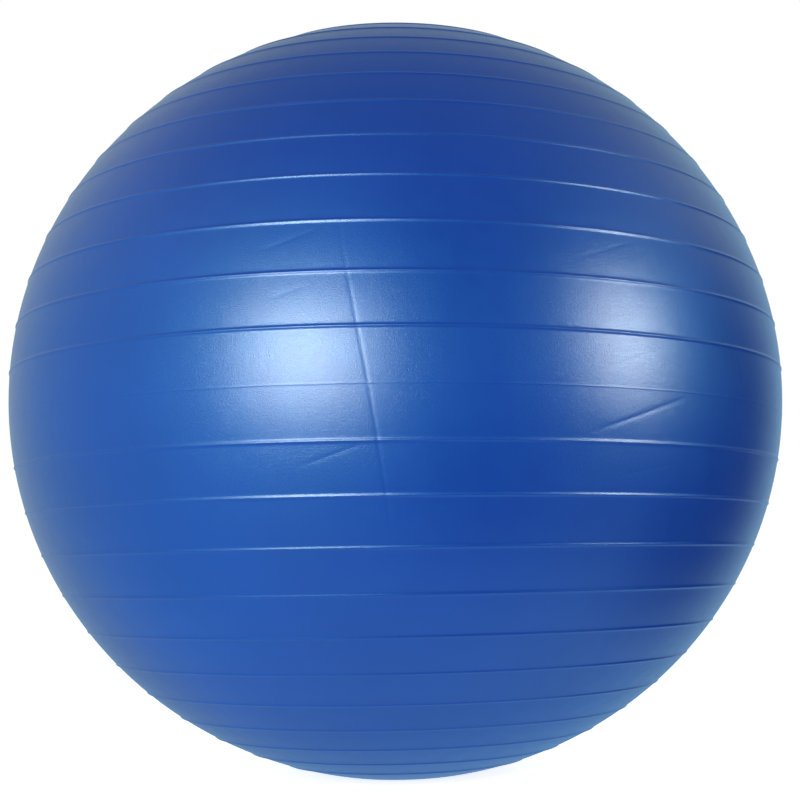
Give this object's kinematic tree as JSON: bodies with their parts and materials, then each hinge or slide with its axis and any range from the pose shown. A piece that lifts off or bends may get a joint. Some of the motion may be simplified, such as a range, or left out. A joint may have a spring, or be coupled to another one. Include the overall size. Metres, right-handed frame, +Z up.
{
  "type": "exercise ball",
  "caption": "Round inflatable ball for floor exercise, with low ribs in level rings, a valve sleeve at the top and a pull-out air plug.",
  "frame": {"origin": "centre of the small flat on which the ball rests, at floor height", "axes": "+Z up through the middle of the ball and its valve, and all the ribs are level rings round it; X and Y are level"},
  "size_m": [0.6504, 0.6504, 0.6356],
  "materials": {
    "shell_pvc": "satin",
    "valve_pvc": "satin",
    "plug_plastic": "satin"
  },
  "bodies": {
    "ball": {"ball_shell": "shell_pvc", "valve_sleeve": "valve_pvc"},
    "plug": {"air_plug": "plug_plastic"}
  },
  "joints": [
    {"name": "plug_pull", "type": "slide", "parent": "ball", "child": "plug", "axis": [0, 0, 1], "range_m": [0, 0.02]}
  ]
}
